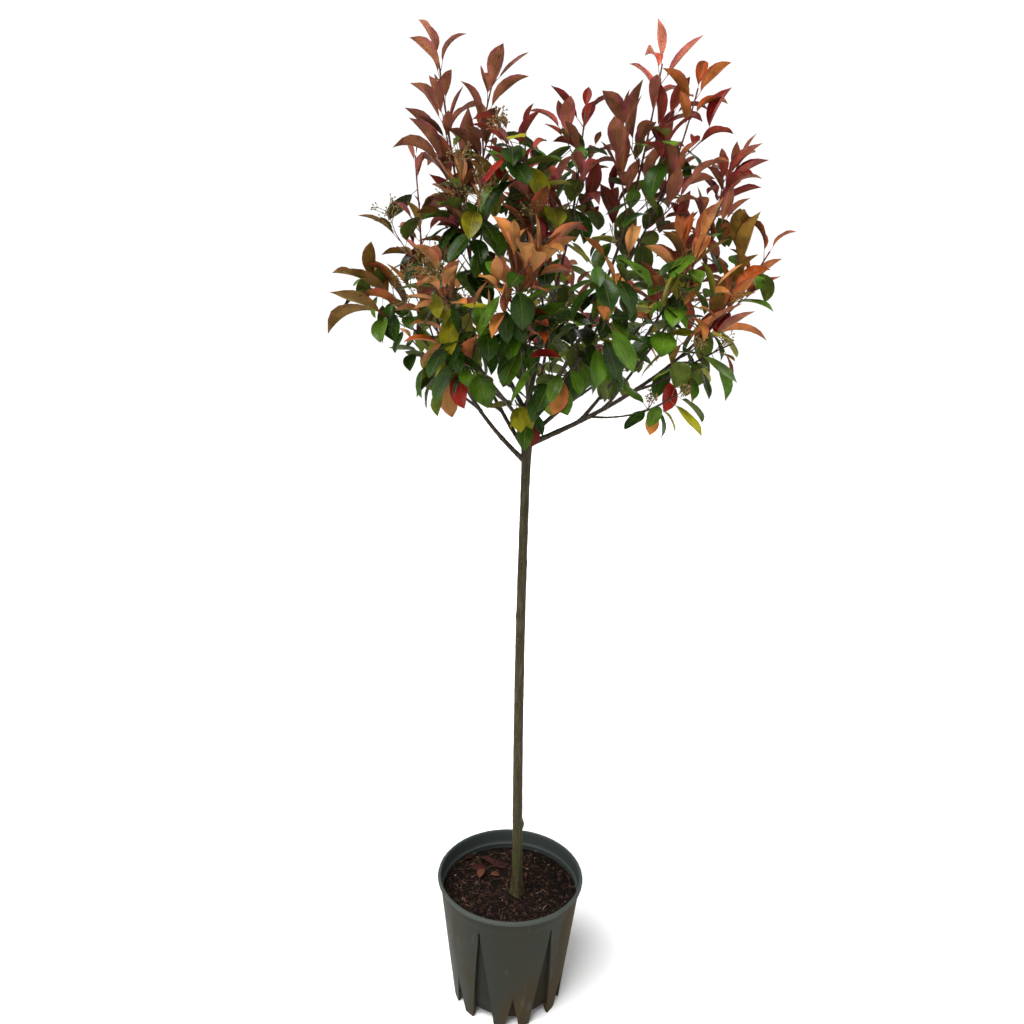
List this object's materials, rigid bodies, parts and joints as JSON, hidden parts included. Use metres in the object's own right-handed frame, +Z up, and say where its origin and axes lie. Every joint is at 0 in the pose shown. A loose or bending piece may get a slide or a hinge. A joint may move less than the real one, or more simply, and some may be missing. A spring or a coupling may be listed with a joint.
{
  "type": "potted standard tree",
  "caption": "Photinia grown as a standard: ribbed nursery pot of compost, one slim clear stem and a loose rounded head of boughs with bronze young and green old leaves.",
  "frame": {"origin": "on the ground at the centre of the pot's flat underside", "axes": "+Z up along the stem; -Y towards the side that the picture was taken from"},
  "size_m": [0.9279, 0.7758, 2.0174],
  "materials": {
    "pot_plastic": "matt, moulded, lightly scuffed",
    "compost": "moist, crumbly, with bark chips",
    "bark": "smooth young bark, olive brown",
    "young_bark": "smooth young bark, olive",
    "green_leaf": "glossy evergreen leaf",
    "bronze_leaf": "satin young leaf"
  },
  "bodies": {
    "root": {"pot": "pot_plastic", "compost": "compost", "trunk": "bark", "bough_left": "young_bark", "bough_left_wing": "young_bark", "bough_left_low": "young_bark", "bough_left_spire": "young_bark", "bough_left_leader": "young_bark", "bough_leader_side": "young_bark", "bough_middle_left": "young_bark", "bough_front_left": "young_bark", "bough_front_left_low": "young_bark", "bough_front": "young_bark", "bough_front_right": "young_bark", "bough_front_low": "young_bark", "bough_middle_top": "young_bark", "bough_middle_front": "young_bark", "bough_right_leader": "young_bark", "bough_right_outer": "young_bark", "bough_right": "young_bark", "bough_right_shoulder": "young_bark", "bough_right_front": "young_bark", "bough_right_low": "young_bark", "bough_right_twig": "young_bark", "bough_back_right": "young_bark", "bough_back_right_low": "young_bark", "bough_back": "young_bark", "bough_back_low": "young_bark", "bough_back_left": "young_bark", "bough_back_left_low": "young_bark", "bough_back_top": "young_bark", "leaves_left": "bronze_leaf", "leaves_left_wing": "bronze_leaf", "leaves_left_low": "green_leaf", "leaves_left_spire": "bronze_leaf", "leaves_left_leader": "bronze_leaf", "leaves_leader_side": "bronze_leaf", "leaves_middle_left": "bronze_leaf", "leaves_front_left": "bronze_leaf", "leaves_front_left_low": "green_leaf", "leaves_front": "bronze_leaf", "leaves_front_right": "green_leaf", "leaves_front_low": "green_leaf", "leaves_middle_top": "bronze_leaf", "leaves_middle_front": "bronze_leaf", "leaves_right_leader": "bronze_leaf", "leaves_right_outer": "bronze_leaf", "leaves_right": "bronze_leaf", "leaves_right_shoulder": "bronze_leaf", "leaves_right_front": "bronze_leaf", "leaves_right_low": "green_leaf", "leaves_right_twig": "green_leaf", "leaves_back_right": "bronze_leaf", "leaves_back_right_low": "green_leaf", "leaves_back": "bronze_leaf", "leaves_back_low": "green_leaf", "leaves_back_left": "bronze_leaf", "leaves_back_left_low": "green_leaf", "leaves_back_top": "bronze_leaf", "leaves_fork": "green_leaf"}
  },
  "joints": []
}
